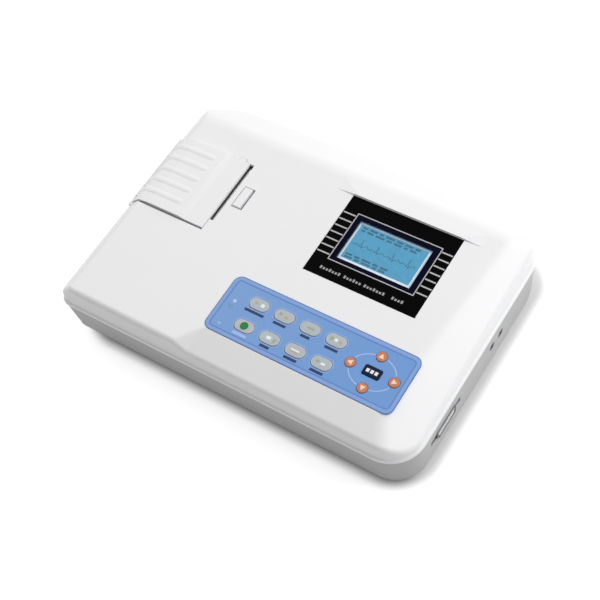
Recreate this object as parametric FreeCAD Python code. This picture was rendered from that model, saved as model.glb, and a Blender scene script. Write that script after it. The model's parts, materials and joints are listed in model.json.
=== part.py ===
import FreeCAD, Part
import math
import os

# Portable single-channel electrocardiograph: a shallow desk-top case with a
# tilted control panel, a strip-chart printer at the left and a patient socket
# at the right. Millimetres; origin under the middle of the case, +Z up,
# +X to the right along the front, +Y to the back.

os.makedirs("parts", exist_ok=True)
V = FreeCAD.Vector

# Case
WIDTH = 288.0
DEPTH = 210.0
FOOT_H = 4.0
PARTING_Z = 39.5
PANEL_Z = 60.0
PANEL_TILT = 2.2
WALL = 2.5
LIP = 1.2
DRAFT = math.tan(math.radians(4.0))
CORNER_R = [25.0, 34.0, 38.0, 8.0]
EDGE_R = 4.0
CREASE_R = 20.0
BASE_INSET = 0.6
BASE_TAPER_X = 1.0
BASE_TAPER_Y = 4.0
SCREW_XY = [(-124.0, -84.0), (122.0, -84.0), (116.0, 80.0), (-116.0, 82.0)]
FOOT_XY = [(-106.0, -70.0), (106.0, -70.0), (100.0, 70.0), (-100.0, 70.0)]

# Panel layout, in the tilted panel frame (z = 0 is the panel surface)
BEZEL = (11.0, 99.0, -11.9, 57.4)
WINDOW = (26.8, 84.4, 6.7, 40.7)
KEYPAD = (-26.8, 120.5, -82.4, -36.3)
KEYPAD_R = 6.0
KEY_X = [0.3, 20.8, 41.3, 61.8]
KEY_Y = [-50.6, -69.6]
KEY_L = 15.2
KEY_W = 9.0
KEY_TOP = 0.8
KEY_TRAVEL = 0.6
PAD_C = (94.7, -59.9)
PAD_RX = 16.5
PAD_RY = 12.8
ARROW_R = 3.7
CENTRE_KEY = (12.6, 7.6)
LIGHT_XY = [(-17.0, -55.6), (-17.0, -61.0)]
HOOD_Y = 57.9
HOOD_H = 1.6
HOOD_X = (-3.0, 112.0)
HOOD_END = 70.0

# Printer
COVER_Y = (-15.0, 48.6)
COVER_GAP = 0.4
FRONT_GAP = 1.5
RIB_R = 6.5
RIB_Y = [-4.0, 7.0, 18.0, 29.0, 40.0]
SLOT_X = (-73.2, -69.4)
SLOT_Y = (-6.2, 48.6)
HINGE = (-140.0, -9.9)
HINGE_R = 2.2
PIN_R = 1.0
PLATEN = (-79.5, -8.5)
PLATEN_R = 5.0
SHAFT_R = 2.0
MODULE = 0.5
TEETH_PLATEN = 24
TEETH_IDLER = 20
TEETH_PINION = 14
GEAR_Y = (-13.2, -9.9)
ROLL = (-107.5, -28.0)
ROLL_R = 20.0
BUTTON = (-64.4, -57.8, 11.2, 29.2)
BUTTON_GAP = 0.8
BUTTON_SIDE_GAP = 2.0
BUTTON_TRAVEL = 2.0

# Sockets
DSUB = (-52.1, 24.7)
SCREW_SIDES = (-16.66, 16.66)
FLANGE_X = 139.3
SLEEVE_X = 144.0
NUT_X = 142.2
JACK_Y = [13.5, 25.9]
JACK_Z = 24.7
JACK_R = 3.2
JACK_X = 143.0
INLET = (-20.0, 21.0)
ROCKER = (25.0, 21.0)
ROCKER_TILT = 10.0
GROUND = (-62.0, 21.0)
BATTERY = (28.0, 108.0, -8.0, 62.0)

# Screw positions of the main board, the power board and the battery cover
BOARD_XY = [(-42.0, -86.0), (110.0, -24.0), (-42.0, -24.0), (100.0, -90.0)]
POWER_XY = [(-48.0, 26.0), (18.0, 26.0), (-48.0, 70.0), (18.0, 70.0)]
COVER_XY = [(32.5, 27.0), (103.5, 27.0)]


def save(name, shape):
    if isinstance(shape, list):
        shape = Part.makeCompound(shape)
    shape.exportStep("parts/" + name + ".step")


def box(x0, x1, y0, y1, z0, z1):
    return Part.makeBox(x1 - x0, y1 - y0, z1 - z0, V(x0, y0, z0))


def rod_x(r, x0, x1, y, z):
    return Part.makeCylinder(r, x1 - x0, V(x0, y, z), V(1, 0, 0))


def rod_y(r, x, z, y0, y1):
    return Part.makeCylinder(r, y1 - y0, V(x, y0, z), V(0, 1, 0))


def rod_z(r, x, y, z0, z1):
    return Part.makeCylinder(r, z1 - z0, V(x, y, z0))


def polygon(points, direction):
    pts = [V(*p) for p in points]
    wire = Part.makePolygon(pts + [pts[0]])
    return Part.Face(wire).extrude(V(*direction))


def prism_y(points, y0, y1):
    return polygon([(x, y0, z) for x, z in points], (0, y1 - y0, 0))


def prism_x(points, x0, x1):
    return polygon([(x0, y, z) for y, z in points], (x1 - x0, 0, 0))


def ring(inset, z, w=WIDTH, d=DEPTH, radii=CORNER_R, cx=0.0, cy=0.0):
    """Closed rounded-rectangle wire at height z, front right corner first."""
    x, y = w / 2 - inset, d / 2 - inset
    corners = [(x, -y, -90), (x, y, 0), (-x, y, 90), (-x, -y, 180)]
    arcs = []
    for (px, py, start), radius in zip(corners, radii):
        r = max(radius - inset, 0.5)
        ox = px - math.copysign(r, px)
        oy = py - math.copysign(r, py)
        arc = []
        for a in (0, 45, 90):
            t = math.radians(start + a)
            arc.append(V(cx + ox + r * math.cos(t), cy + oy + r * math.sin(t), z))
        arcs.append(arc)
    edges = []
    for i, arc in enumerate(arcs):
        edges.append(Part.Arc(*arc).toShape())
        if arc[2].distanceToPoint(arcs[(i + 1) % 4][0]) > 1e-6:
            edges.append(Part.LineSegment(arc[2], arcs[(i + 1) % 4][0]).toShape())
    return Part.Wire(edges)


def loft(*wires):
    return Part.makeLoft(list(wires), True, True)


def tile(x0, x1, y0, y1, r, z0, z1):
    """Rounded-corner slab."""
    w, d = x1 - x0, y1 - y0
    wire = ring(0.0, z0, w, d, [r] * 4, (x0 + x1) / 2, (y0 + y1) / 2)
    return Part.Face(wire).extrude(V(0, 0, z1 - z0))


def stadium(cx, cy, length, width, z0, z1):
    return tile(cx - length / 2, cx + length / 2, cy - width / 2, cy + width / 2, width / 2 - 0.01, z0, z1)


def above(point, normal, size=600.0):
    """Large block that fills the side of a plane the normal points to."""
    b = Part.makeBox(size, size, size, V(-size / 2, -size / 2, 0))
    b.Placement = FreeCAD.Placement(V(point), FreeCAD.Rotation(V(0, 0, 1), V(normal)))
    return b


def plane(a, b, c):
    a, b, c = V(*a), V(*b), V(*c)
    n = (b - a).cross(c - a)
    n.normalize()
    if n.z < 0:
        n = n * -1
    return a, n


def panel(shape):
    """From the tilted panel frame to the case frame."""
    s = shape.copy()
    s.rotate(V(0, -DEPTH / 2, 0), V(1, 0, 0), PANEL_TILT)
    s.translate(V(0, 0, PANEL_Z))
    return s


def fuse(first, *others):
    return first.fuse(list(others)).removeSplitter()


def cut(first, *others):
    return first.cut(list(others))


def panel_z(y):
    return PANEL_Z + (y + DEPTH / 2) * math.tan(math.radians(PANEL_TILT))


# Faces that bound the top of the case
TOP = plane((0, -DEPTH / 2, PANEL_Z), (9, -DEPTH / 2, PANEL_Z), (0, 0, panel_z(0)))
RIGHT_BEVEL = plane((120.4, -29.6, panel_z(-29.6)), (126.8, 51.5, panel_z(51.5)), (142.0, 16.0, 54.4))
BACK_BEVEL = plane((-100, 73.3, panel_z(73.3)), (100, 73.3, panel_z(73.3)), (0, 103.1, 49.9))
LEFT_BEVEL = plane((-131, -60, panel_z(-60)), (-131, 60, panel_z(60)), (-142, 0, panel_z(0) - 11.0))
FRONT_BEVEL = plane((0, -82.9, panel_z(-82.9)), (99, -82.9, panel_z(-82.9)), (0, -103.0, 53.7))
FRONT_RAMP = plane((-25, -82.9, panel_z(-82.9)), (-40, -103.4, panel_z(-103.4)), (-28, -103.4, 53.6))


def case_form(inset, drop, z0):
    """Drafted block under the panel and its bevels."""
    top_z = PARTING_Z + 40.0
    lean = DRAFT * (top_z - PARTING_Z)
    body = loft(ring(inset, z0), ring(inset + lean, top_z))
    for point, normal in (TOP, RIGHT_BEVEL, BACK_BEVEL, LEFT_BEVEL):
        body = body.cut(above(point - normal * drop, normal))
    wedge = above(FRONT_BEVEL[0] - FRONT_BEVEL[1] * drop, FRONT_BEVEL[1])
    wedge = wedge.common(above(FRONT_RAMP[0] - FRONT_RAMP[1] * drop, FRONT_RAMP[1]))
    return body.cut(wedge)


def mid(edge):
    return edge.valueAt((edge.FirstParameter + edge.LastParameter) / 2)


def lies_on(edge, face):
    """Whether both ends of a straight edge lie on a bounding plane."""
    ends = (edge.valueAt(edge.FirstParameter), edge.valueAt(edge.LastParameter))
    return all(abs((p - face[0]).dot(face[1])) < 0.01 for p in ends)


def is_sharp(edge, shape):
    normals = []
    for face in shape.ancestorsOfType(edge, Part.Face):
        normals.append(face.normalAt(*face.Surface.parameter(mid(edge))))
    return len(normals) == 2 and normals[0].dot(normals[1]) < 0.995


def hood():
    """Low visor behind the display, fading out at both ends."""
    block = box(*HOOD_X, HOOD_Y, HOOD_END, -2.0, 6.0)
    tops = [
        plane((15, HOOD_Y, HOOD_H), (95, HOOD_Y, HOOD_H), (15, HOOD_END, -0.15)),
        plane((HOOD_X[0], HOOD_Y, 0), (15, HOOD_Y, HOOD_H), (HOOD_X[0], HOOD_END, 0)),
        plane((HOOD_X[1], HOOD_Y, 0), (95, HOOD_Y, HOOD_H), (HOOD_X[1], HOOD_END, 0)),
    ]
    for point, normal in tops:
        block = block.cut(above(point, normal))
    return block


# Keys: name, centre, outline maker (clearance, z0, z1)
def pill(cx, cy):
    return lambda c, z0, z1: stadium(cx, cy, KEY_L + 2 * c, KEY_W + 2 * c, z0, z1)


def disc(cx, cy):
    return lambda c, z0, z1: rod_z(ARROW_R + c, cx, cy, z0, z1)


def slab(cx, cy):
    hx, hy = CENTRE_KEY[0] / 2, CENTRE_KEY[1] / 2
    return lambda c, z0, z1: tile(cx - hx - c, cx + hx + c, cy - hy - c, cy + hy + c, 1.2 + c, z0, z1)


KEYS = []
for row, y in enumerate(KEY_Y):
    for col, x in enumerate(KEY_X):
        KEYS.append(("key_f%d" % (row * 4 + col + 1), x, y, pill(x, y)))
KEYS.append(("key_up", PAD_C[0], PAD_C[1] + PAD_RY, disc(PAD_C[0], PAD_C[1] + PAD_RY)))
KEYS.append(("key_down", PAD_C[0], PAD_C[1] - PAD_RY, disc(PAD_C[0], PAD_C[1] - PAD_RY)))
KEYS.append(("key_left", PAD_C[0] - PAD_RX, PAD_C[1], disc(PAD_C[0] - PAD_RX, PAD_C[1])))
KEYS.append(("key_right", PAD_C[0] + PAD_RX, PAD_C[1], disc(PAD_C[0] + PAD_RX, PAD_C[1])))
KEYS.append(("key_center", PAD_C[0], PAD_C[1], slab(*PAD_C)))


def d_outline(width, height, x0, x1, r=1.6):
    """D-shaped prism along X, wider at its top, round the patient socket."""
    y, z = DSUB
    w, h, s = width / 2, height / 2, height * 0.088
    solid = prism_x([(y - w + s, z - h), (y + w - s, z - h), (y + w + s, z + h), (y - w - s, z + h)], x0, x1)
    edges = [e for e in solid.Edges if abs(e.tangentAt(e.FirstParameter).x) > 0.99]
    return solid.makeFillet(r, edges)


# Upper case
def make_top_shell():
    form = case_form(LIP, 0.0, PARTING_Z)
    pairs = [(TOP, RIGHT_BEVEL), (TOP, BACK_BEVEL), (RIGHT_BEVEL, BACK_BEVEL), (RIGHT_BEVEL, FRONT_BEVEL)]
    creases = [e for e in form.Edges if any(lies_on(e, a) and lies_on(e, b) for a, b in pairs)]
    form = form.makeFillet(CREASE_R, creases)
    crest = [e for e in form.Edges if mid(e).z > PARTING_Z + 4.0 and is_sharp(e, form)]
    form = form.makeFillet(EDGE_R, crest)
    foot = loft(ring(0.0, PARTING_Z), ring(0.2, PARTING_Z + 2.0))
    flare = loft(ring(0.2, PARTING_Z + 2.0), ring(LIP + 0.3, PARTING_Z + 3.2))
    outer = fuse(form, foot, flare, panel(hood()))
    shell = outer.cut(case_form(LIP + WALL, WALL, PARTING_Z - 1.0))
    posts = [rod_z(4.2, x, y, PARTING_Z, 90).common(form) for x, y in SCREW_XY]
    shell = fuse(shell, *posts)
    holes = [rod_z(1.6, x, y, PARTING_Z - 1, PARTING_Z + 13) for x, y in SCREW_XY]
    y0, y1 = COVER_Y[0] - FRONT_GAP, COVER_Y[1] + COVER_GAP
    g = BUTTON_GAP
    cuts = [
        box(-146, SLOT_X[0] + COVER_GAP, y0, y1, -12.4, 10),
        box(-80, SLOT_X[1], SLOT_Y[0], SLOT_Y[1], -12.4, 10),
        box(-83.2, -76.8, y1 - 1, 51.6, -12.4, 10),
        box(BUTTON[0] - g, BUTTON[1] + BUTTON_SIDE_GAP, BUTTON[2] - g, BUTTON[3] + g, -6, 5),
        box(BEZEL[0] - 0.2, BEZEL[1] + 0.2, BEZEL[2] - 0.2, BEZEL[3] + 0.2, -1.2, 8),
        box(17, 94, -3, 51, -8, 5),
        tile(KEYPAD[0] - 0.2, KEYPAD[1] + 0.2, KEYPAD[2] - 0.2, KEYPAD[3] + 0.2, KEYPAD_R + 0.2, -0.6, 5),
    ]
    cuts += [outline(0.6, -8, 5) for _, _, _, outline in KEYS]
    cuts += [rod_z(1.6, x, y, -8, 5) for x, y in LIGHT_XY]
    shell = cut(shell, *holes)
    shell = cut(shell, *[panel(c) for c in cuts])
    lugs = []
    for a, b in ((y0 - 1.2, -9.4), (1.4, 31.6), (42.4, y1 + 1.2)):
        lug = rod_y(HINGE_R, HINGE[0], HINGE[1], a, b)
        lugs.append(panel(lug.fuse(box(-141.6, -138.4, a, b, -14.0, HINGE[1]))))
    for x, y in ((14.5, -7.0), (95.5, -7.0), (14.5, 53.5), (95.5, 53.5)):
        lugs.append(panel(rod_z(2.6, x, y, -7.2, -2.0)))
    for x, y in ((-21.0, -41.0), (115.0, -41.0), (-21.0, -78.0), (115.0, -78.0)):
        lugs.append(panel(rod_z(2.6, x, y, -7.2, -2.0)))
    shell = fuse(shell, *lugs)
    return cut(shell, panel(rod_y(PIN_R + 0.03, HINGE[0], HINGE[1], y0 - 0.8, y1 + 3)))


# Lower case
def base_ring(inset, z):
    """Outline of the lower case at height z, set in from its outer face."""
    share = (PARTING_Z - z) / (PARTING_Z - FOOT_H)
    w = WIDTH - 2 * BASE_TAPER_X * share
    d = DEPTH - 2 * BASE_TAPER_Y * share
    return ring(BASE_INSET + inset, z, w, d)


def make_bottom_shell():
    outer = loft(base_ring(0.0, FOOT_H), base_ring(0.0, PARTING_Z))
    outer = outer.makeFillet(EDGE_R, [e for e in outer.Edges if mid(e).z < FOOT_H + 0.1])
    inner = loft(base_ring(WALL, FOOT_H + WALL), base_ring(WALL, PARTING_Z + 1.0))
    shell = outer.cut(inner)
    y, z = DSUB
    x0, x1, y0, y1 = BATTERY
    adds = [box(136.8, 145, y - 25, y + 25, z - 11, z + 11)]
    adds += [box(INLET[0] - 20, INLET[0] + 20, 96.5, 106, INLET[1] - 14.4, INLET[1] + 15)]
    adds += [box(ROCKER[0] - 12, ROCKER[0] + 12, 96.5, 106, ROCKER[1] - 14.4, ROCKER[1] + 15)]
    adds += [box(GROUND[0] - 12, GROUND[0] + 12, 92.0, 106, GROUND[1] - 14.4, GROUND[1] + 13)]
    adds += [rod_z(4.6, px, py, FOOT_H, PARTING_Z) for px, py in SCREW_XY]
    adds += [box(x0 - 2, x1 + 2, y0 - 2, y1 + 2, FOOT_H + 0.5, 27)]
    adds += [rod_z(3.2, px, py, FOOT_H + 1, 14.0) for px, py in BOARD_XY]
    adds += [rod_z(3.2, px, py, FOOT_H + 1, 10.0) for px, py in POWER_XY]
    shell = fuse(shell, *[a.common(outer) for a in adds])
    cuts = [box(128, FLANGE_X + 1.0, y - 20.0, y + 20.0, z - 6.7, z + 6.7)]
    cuts += [box(138, 150, y - 19.8, y + 19.8, z - 2.8, z + 2.8)]
    cuts += [d_outline(25.4, 8.7, 138, 150, 2.0)]
    cuts += [rod_x(JACK_R + 0.3, 138, 150, jy, JACK_Z) for jy in JACK_Y]
    cuts += [box(INLET[0] - 15.9, INLET[0] + 15.9, 100.3, 110, INLET[1] - 12.4, INLET[1] + 12.4)]
    cuts += [box(INLET[0] - 13.9, INLET[0] + 13.9, 90, 110, INLET[1] - 10.2, INLET[1] + 10.2)]
    cuts += [box(ROCKER[0] - 8.3, ROCKER[0] + 8.3, 100.3, 110, ROCKER[1] - 12.3, ROCKER[1] + 12.3)]
    cuts += [box(ROCKER[0] - 6.8, ROCKER[0] + 6.8, 90, 110, ROCKER[1] - 10.6, ROCKER[1] + 10.6)]
    cuts += [rod_y(9.0, GROUND[0], GROUND[1], 95.0, 110)]
    cuts += [rod_y(3.1, GROUND[0], GROUND[1], 88.0, 100)]
    for px, py in SCREW_XY:
        cuts += [rod_z(1.75, px, py, 0, 60), rod_z(3.4, px, py, 0, FOOT_H + 8)]
    cuts += [box(x0, x1, y0, y1, 0, 25)]
    cuts += [rod_z(1.2, px, py, 8.0, 20) for px, py in BOARD_XY + POWER_XY]
    cuts += [tile(vx, vx + 2.4, 36, 60, 1.1, 0, 9) for vx in (-44, -38, -32, -26, -20, -14, -8, -2)]
    shell = cut(shell, *cuts)
    posts = [rod_z(3.5, px, py, 6.4, 26).cut(rod_z(1.2, px, py, 5, 13)) for px, py in COVER_XY]
    return fuse(shell, *posts)


save("top_shell", make_top_shell())
save("bottom_shell", make_bottom_shell())

feet = []
for x, y in FOOT_XY:
    feet.append(Part.makeCone(6.2, 7.0, 1.0, V(x, y, 0)).fuse(rod_z(7.0, x, y, 1.0, FOOT_H)).removeSplitter())
save("rubber_feet", feet)


def screw(x, y, z_seat, shank_r, shank_l, head_r, head_h, down):
    """Pan-head screw with a cross recess; the head is below z_seat when down is -1."""
    d = V(0, 0, down)
    head = Part.makeCylinder(head_r, head_h, V(x, y, z_seat), d)
    shank = Part.makeCylinder(shank_r, shank_l, V(x, y, z_seat), d * -1)
    z = z_seat + down * head_h
    a, b = sorted((z, z - down * 0.8))
    slots = [box(x - 1.4, x + 1.4, y - 0.35, y + 0.35, a, b), box(x - 0.35, x + 0.35, y - 1.4, y + 1.4, a, b)]
    return head.fuse(shank).removeSplitter().cut(slots)


save("case_screws", [screw(x, y, FOOT_H + 8, 1.5, 39.0, 3.1, 2.2, -1) for x, y in SCREW_XY])
small = [screw(x, y, 15.6, 1.1, 7.0, 2.2, 1.4, 1) for x, y in BOARD_XY]
small += [screw(x, y, 11.6, 1.1, 3.4, 2.2, 1.4, 1) for x, y in POWER_XY]
small += [screw(x, y, 5.6, 1.1, 7.0, 2.2, 1.4, -1) for x, y in COVER_XY]
save("short_screws", small)

# Battery
x0, x1, y0, y1 = BATTERY
lid = tile(x0 + 0.3, x1 - 0.3, y0 + 0.3, y1 - 0.3, 0.6, FOOT_H, FOOT_H + 2.2)
lid = cut(lid, *[rod_z(1.4, x, y, 0, 10) for x, y in COVER_XY])
lid = cut(lid, *[rod_z(2.5, x, y, 0, 5.6) for x, y in COVER_XY])
lid = cut(lid, *[tile(60, 76, y, y + 1.6, 0.7, 0, FOOT_H + 0.8) for y in (44.0, 47.0, 50.0)])
save("battery_cover", lid)
cells = [rod_y(9.2, x, 15.8, -5.0, 60.0) for x in (49.4, 68.0, 86.6)]
save("battery_pack", fuse(tile(40.2, 95.8, -5.4, 60.4, 3.0, 8.0, 23.6), *cells))

# Boards in the lower case
board = tile(-48, 116, -93, -17, 2.0, 14.0, 15.6)
save("main_board", cut(board, *[rod_z(1.3, x, y, 10, 20) for x, y in BOARD_XY]))
chips = [(0, 16, -70, -54, 2.0), (30, 44, -66, -52, 1.8), (60, 72, -80, -70, 1.6), (-30, -16, -66, -56, 2.4)]
chips += [(84, 104, -62, -44, 6.0), (20, 50, -28, -20, 7.0), (-20, 10, -90, -84, 7.0)]
chips += [(60, 90, -34, -26, 5.0)]
parts = [box(a, b, c, d, 15.6, 15.6 + h) for a, b, c, d, h in chips]
parts += [rod_z(4.0, x, y, 15.6, 26.0) for x, y in ((-36.0, -44.0), (-26.0, -44.0), (52.0, -46.0))]
save("main_board_parts", parts)
beeper = rod_z(6.0, -20.0, -32.0, 15.6, 24.0)
save("beeper", beeper.cut(rod_z(1.0, -20.0, -32.0, 22.0, 25.0)))
board = tile(-52, 22, 22, 74, 2.0, 10.0, 11.6)
save("power_board", cut(board, *[rod_z(1.3, x, y, 8, 14) for x, y in POWER_XY]))
parts = [box(-24, 4, 34, 60, 11.6, 33.0), box(-42, -39, 34, 62, 11.6, 30.0), box(8, 16, 36, 44, 11.6, 20.0)]
parts += [rod_z(6.5, -33.0, 56.0, 11.6, 32.0), rod_z(5.0, 12.0, 56.0, 11.6, 28.0)]
save("power_board_parts", parts)

# Rear sockets and switch
x, z = INLET
body = box(x - 15.5, x + 15.5, 100.3, 102.3, z - 12, z + 12)
body = body.fuse(box(x - 13.5, x + 13.5, 82, 100.3, z - 9.8, z + 9.8))
mouth = [(x - 12, z - 8.2), (x + 12, z - 8.2), (x + 12, z + 3.2)]
mouth += [(x + 7, z + 8.2), (x - 7, z + 8.2), (x - 12, z + 3.2)]
slots = [(x - 8.0, z - 2.4), (x + 6.0, z - 2.4), (x - 1.0, z + 1.4)]
body = cut(body.removeSplitter(), prism_y(mouth, 86.0, 104.0))
save("mains_inlet", cut(body, *[box(a, a + 2.0, 78, 90, b, b + 4.0) for a, b in slots]))
save("mains_inlet_pins", [box(a + 0.05, a + 1.95, 78, 97.0, b + 0.05, b + 3.95) for a, b in slots])

x, z = ROCKER
frame = box(x - 8, x + 8, 100.3, 101.8, z - 12, z + 12)
frame = frame.fuse(box(x - 6.5, x + 6.5, 86, 100.3, z - 10.3, z + 10.3))
frame = frame.removeSplitter().cut(box(x - 5.6, x + 5.6, 88, 110, z - 9.6, z + 9.6))
save("power_switch_frame", frame.cut(rod_x(1.56, x - 6.45, x + 6.45, 99.4, z)))
rocker = prism_x([(-4, -8.6), (2.6, -8.6), (1.3, 0), (2.6, 8.6), (-4, 8.6)], x - 5.2, x + 5.2)
rocker = rocker.fuse(rod_x(1.5, x - 6.3, x + 6.3, 0, 0)).removeSplitter()
rocker.rotate(V(0, 0, 0), V(1, 0, 0), -ROCKER_TILT)
rocker.translate(V(0, 99.4, z))
save("power_rocker", rocker)

x, z = GROUND
post = rod_y(3.0, x, z, 86.0, 104.0).fuse(rod_y(5.4, x, z, 95.0, 97.0)).fuse(rod_y(5.4, x, z, 89.0, 92.0))
save("ground_post", post.removeSplitter())

# Patient socket and signal jacks on the right side
y, z = DSUB
flange = tile(-19.6, 19.6, -6.25, 6.25, 1.0, 0, 0.9)
flange.rotate(V(0, 0, 0), V(0, 0, 1), 90)
flange.rotate(V(0, 0, 0), V(0, 1, 0), 90)
flange.translate(V(FLANGE_X, y, z))
sleeve = flange.fuse(d_outline(24.6, 7.9, FLANGE_X + 0.2, SLEEVE_X)).removeSplitter()
sleeve = sleeve.cut(d_outline(23.6, 6.9, 130, 150, 1.1))
save("patient_connector_shell", cut(sleeve, *[rod_x(1.7, 130, 150, y + s, z) for s in SCREW_SIDES]))
core = d_outline(21.4, 4.8, FLANGE_X - 0.8, SLEEVE_X - 0.3, 1.0)
core = core.fuse(box(128.6, FLANGE_X - 0.2, y - 13, y + 13, z - 4.6, z + 4.6))
pins = []
for row, count in ((1.42, 8), (-1.42, 7)):
    for i in range(count):
        pins.append(rod_x(0.5, 138.5, 146, y + (i - (count - 1) / 2) * 2.77, z + row))
save("patient_connector_insert", cut(core.removeSplitter(), *pins))
nuts = []
for s in SCREW_SIDES:
    hexagon = []
    for k in range(6):
        a = math.radians(60 * k)
        hexagon.append((y + s + 2.8 * math.cos(a), z + 2.8 * math.sin(a)))
    nut = prism_x(hexagon, FLANGE_X + 0.9, NUT_X).fuse(rod_x(1.55, 134.0, FLANGE_X + 0.9, y + s, z))
    nuts.append(nut.removeSplitter().cut(rod_x(1.25, 135.5, 150, y + s, z)))
save("connector_jackscrews", nuts)
jacks = []
for jy in JACK_Y:
    block = box(125.0, 139.9, jy - 5.4, jy + 5.4, JACK_Z - 4.4, JACK_Z + 4.4)
    jack = fuse(block, rod_x(JACK_R, 139.0, JACK_X, jy, JACK_Z))
    jacks.append(jack.cut(rod_x(1.8, 127.8, 150, jy, JACK_Z)))
save("signal_jacks", jacks)

# Display
frame = box(*BEZEL, -1.2, 0.0).cut(box(*WINDOW, -3, 3))
save("display_bezel", panel(frame))
wx0, wx1, wy0, wy1 = WINDOW
save("display_window", panel(box(wx0 + 0.05, wx1 - 0.05, wy0 + 0.05, wy1 - 0.05, -1.2, -0.2)))
can = box(18, 93, -2, 50, -7.2, -1.3)
can = can.cut(box(wx0 - 1.2, wx1 + 1.2, wy0 - 1.2, wy1 + 1.2, -3, 0))
save("lcd_frame", panel(can.cut(box(19, 92, -1, 49, -8, -1.9))))
save("lcd_glass", panel(box(20, 91, 0, 48, -5.0, -2.0)))
save("lcd_board", panel(tile(10, 100, -10.5, 57, 1.5, -8.8, -7.2)))

# Keypad
film = tile(*KEYPAD, KEYPAD_R, -0.6, 0.2)
film = cut(film, *[outline(0.3, -2, 2) for _, _, _, outline in KEYS])
save("keypad_overlay", panel(cut(film, *[rod_z(1.6, x, y, -2, 2) for x, y in LIGHT_XY])))
save("keypad_board", panel(tile(-25, 119, -81, -38, 1.5, -8.8, -7.2)))
domes = [Part.makeCone(3.2, 1.6, 0.8, V(x, y, -7.2)) for _, x, y, _ in KEYS]
save("dome_switches", [panel(d) for d in domes])
lights = [rod_z(1.5, x, y, -7.2, 0.1) for x, y in LIGHT_XY]
save("indicator_lights", [panel(s) for s in lights])
stem_z = -6.2 + KEY_TRAVEL
for name, x, y, outline in KEYS:
    cap = outline(0.0, -3.2, KEY_TOP)
    rim = [e for e in cap.Edges if mid(e).z > KEY_TOP - 0.01]
    cap = cap.makeFillet(0.5, rim)
    cap = fuse(cap, outline(0.9, -4.0, -3.0), rod_z(1.6, x, y, stem_z, -3.9))
    save(name, panel(cap))


# Printer cover
def rib(yc):
    """Shallow rounded bead along the cover, fading out at its right end."""
    crest = [V(-97.0, 0, 2.0), V(-101.0, 0, 2.55), V(-122.2, 0, 2.4), V(-131.7, 0, 0.85), V(-138.5, 0, -5.8)]
    runs = list(zip(crest, crest[1:]))
    normals = []
    for p, q in runs:
        d = (q - p).normalize()
        normals.append(V(d.z, 0, -d.x))
    mitres = [normals[0]]
    for a, b in zip(normals, normals[1:]):
        mitres.append((a + b) * (1 / (1 + a.dot(b))))
    mitres.append(normals[-1])
    beads = []
    for k, (p, q) in enumerate(runs):
        low, high = mitres[k], mitres[k + 1]
        section = [p - low * 1.2, q - high * 1.2, q + high * 0.2, p + low * 0.2]
        block = prism_y([(c.x, c.z) for c in section], yc - 4.0, yc + 4.0)
        along = (q - p).normalize()
        start = p - normals[k] * RIB_R - along * 5.0 + V(0, yc, 0)
        beads.append(block.common(Part.makeCylinder(RIB_R, (q - p).Length + 10.0, start, along)))
    return beads


def make_cover():
    top = [(-73.2, 0.4), (-89.0, 0.6), (-94.0, 2.1), (-122.0, 1.9), (-131.2, 0.4), (-138.9, -7.0)]
    under = [(-137.4, -8.2), (-130.4, -1.7), (-121.7, 0.1), (-94.5, 0.3), (-89.5, -1.2), (-73.2, -1.6)]
    y0, y1 = COVER_Y
    plate = prism_y(top + under, y0, y1)
    side = top[:5] + [(-130.4, -1.7), (-128.5, -2.4), (-75.0, -2.4), (-73.2, -1.6)]
    walls = [prism_y(side, y0, y0 + 1.6), prism_y(side, y1 - 1.6, y1)]
    walls.append(box(-82.8, -77.2, y1 - 1.0, 51.2, -1.6, 0.4))
    for yc in RIB_Y:
        walls += rib(yc)
    for a, b in ((-9.0, 1.0), (32.0, 42.0)):
        hinge = rod_y(HINGE_R, HINGE[0], HINGE[1], a, b)
        web = prism_y([(-138.9, -6.8), (-137.0, -7.8), (-138.6, -11.2), (-141.6, -8.6)], a, b)
        walls += [hinge, web]
    for a, b in ((-7.2, -5.4), (46.9, 48.5)):
        ear = rod_y(3.9, PLATEN[0], PLATEN[1], a, b)
        walls += [ear, box(PLATEN[0] - 3.9, PLATEN[0] + 3.9, a, b, PLATEN[1], -1.0)]
    cover = fuse(plate, *walls)
    bores = [rod_y(PIN_R + 0.08, HINGE[0], HINGE[1], -20, 60)]
    bores += [rod_y(SHAFT_R + 0.06, PLATEN[0], PLATEN[1], -8, 52)]
    return cut(cover, *bores)


save("printer_cover", panel(make_cover()))
save("cover_hinge_pin", panel(rod_y(PIN_R, *HINGE, COVER_Y[0] - 1.0, COVER_Y[1] + 1.8)))


# Paper drive
def gear(teeth, x, z, y0, y1, phase, bore):
    """Stub involute spur gear about Y; a tooth points along phase degrees."""
    pitch_r = MODULE * teeth / 2
    base_r = pitch_r * math.cos(math.radians(20))
    tip_r = pitch_r + 0.8 * MODULE
    root_r = pitch_r - 1.1 * MODULE

    def roll(r):
        a = math.acos(min(1.0, base_r / r))
        return math.tan(a) - a

    half = math.pi / 2 / teeth - 0.045 / pitch_r + roll(pitch_r)
    radii = [max(base_r, root_r) + (tip_r - max(base_r, root_r)) * k / 3 for k in range(4)]
    points = []
    for k in range(teeth):
        c = math.radians(phase) + 2 * math.pi * k / teeth
        flank = [(root_r, -(half - roll(radii[0])))] + [(r, -(half - roll(r))) for r in radii]
        flank += [(r, -a) for r, a in reversed(flank)]
        points += [(x + r * math.cos(c + a), z + r * math.sin(c + a)) for r, a in flank]
    clean = [points[0]]
    for p in points[1:]:
        if math.dist(p, clean[-1]) > 1e-4:
            clean.append(p)
    return prism_y(clean, y0, y1).cut(rod_y(bore, x, z, y0 - 1, y1 + 1))


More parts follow.
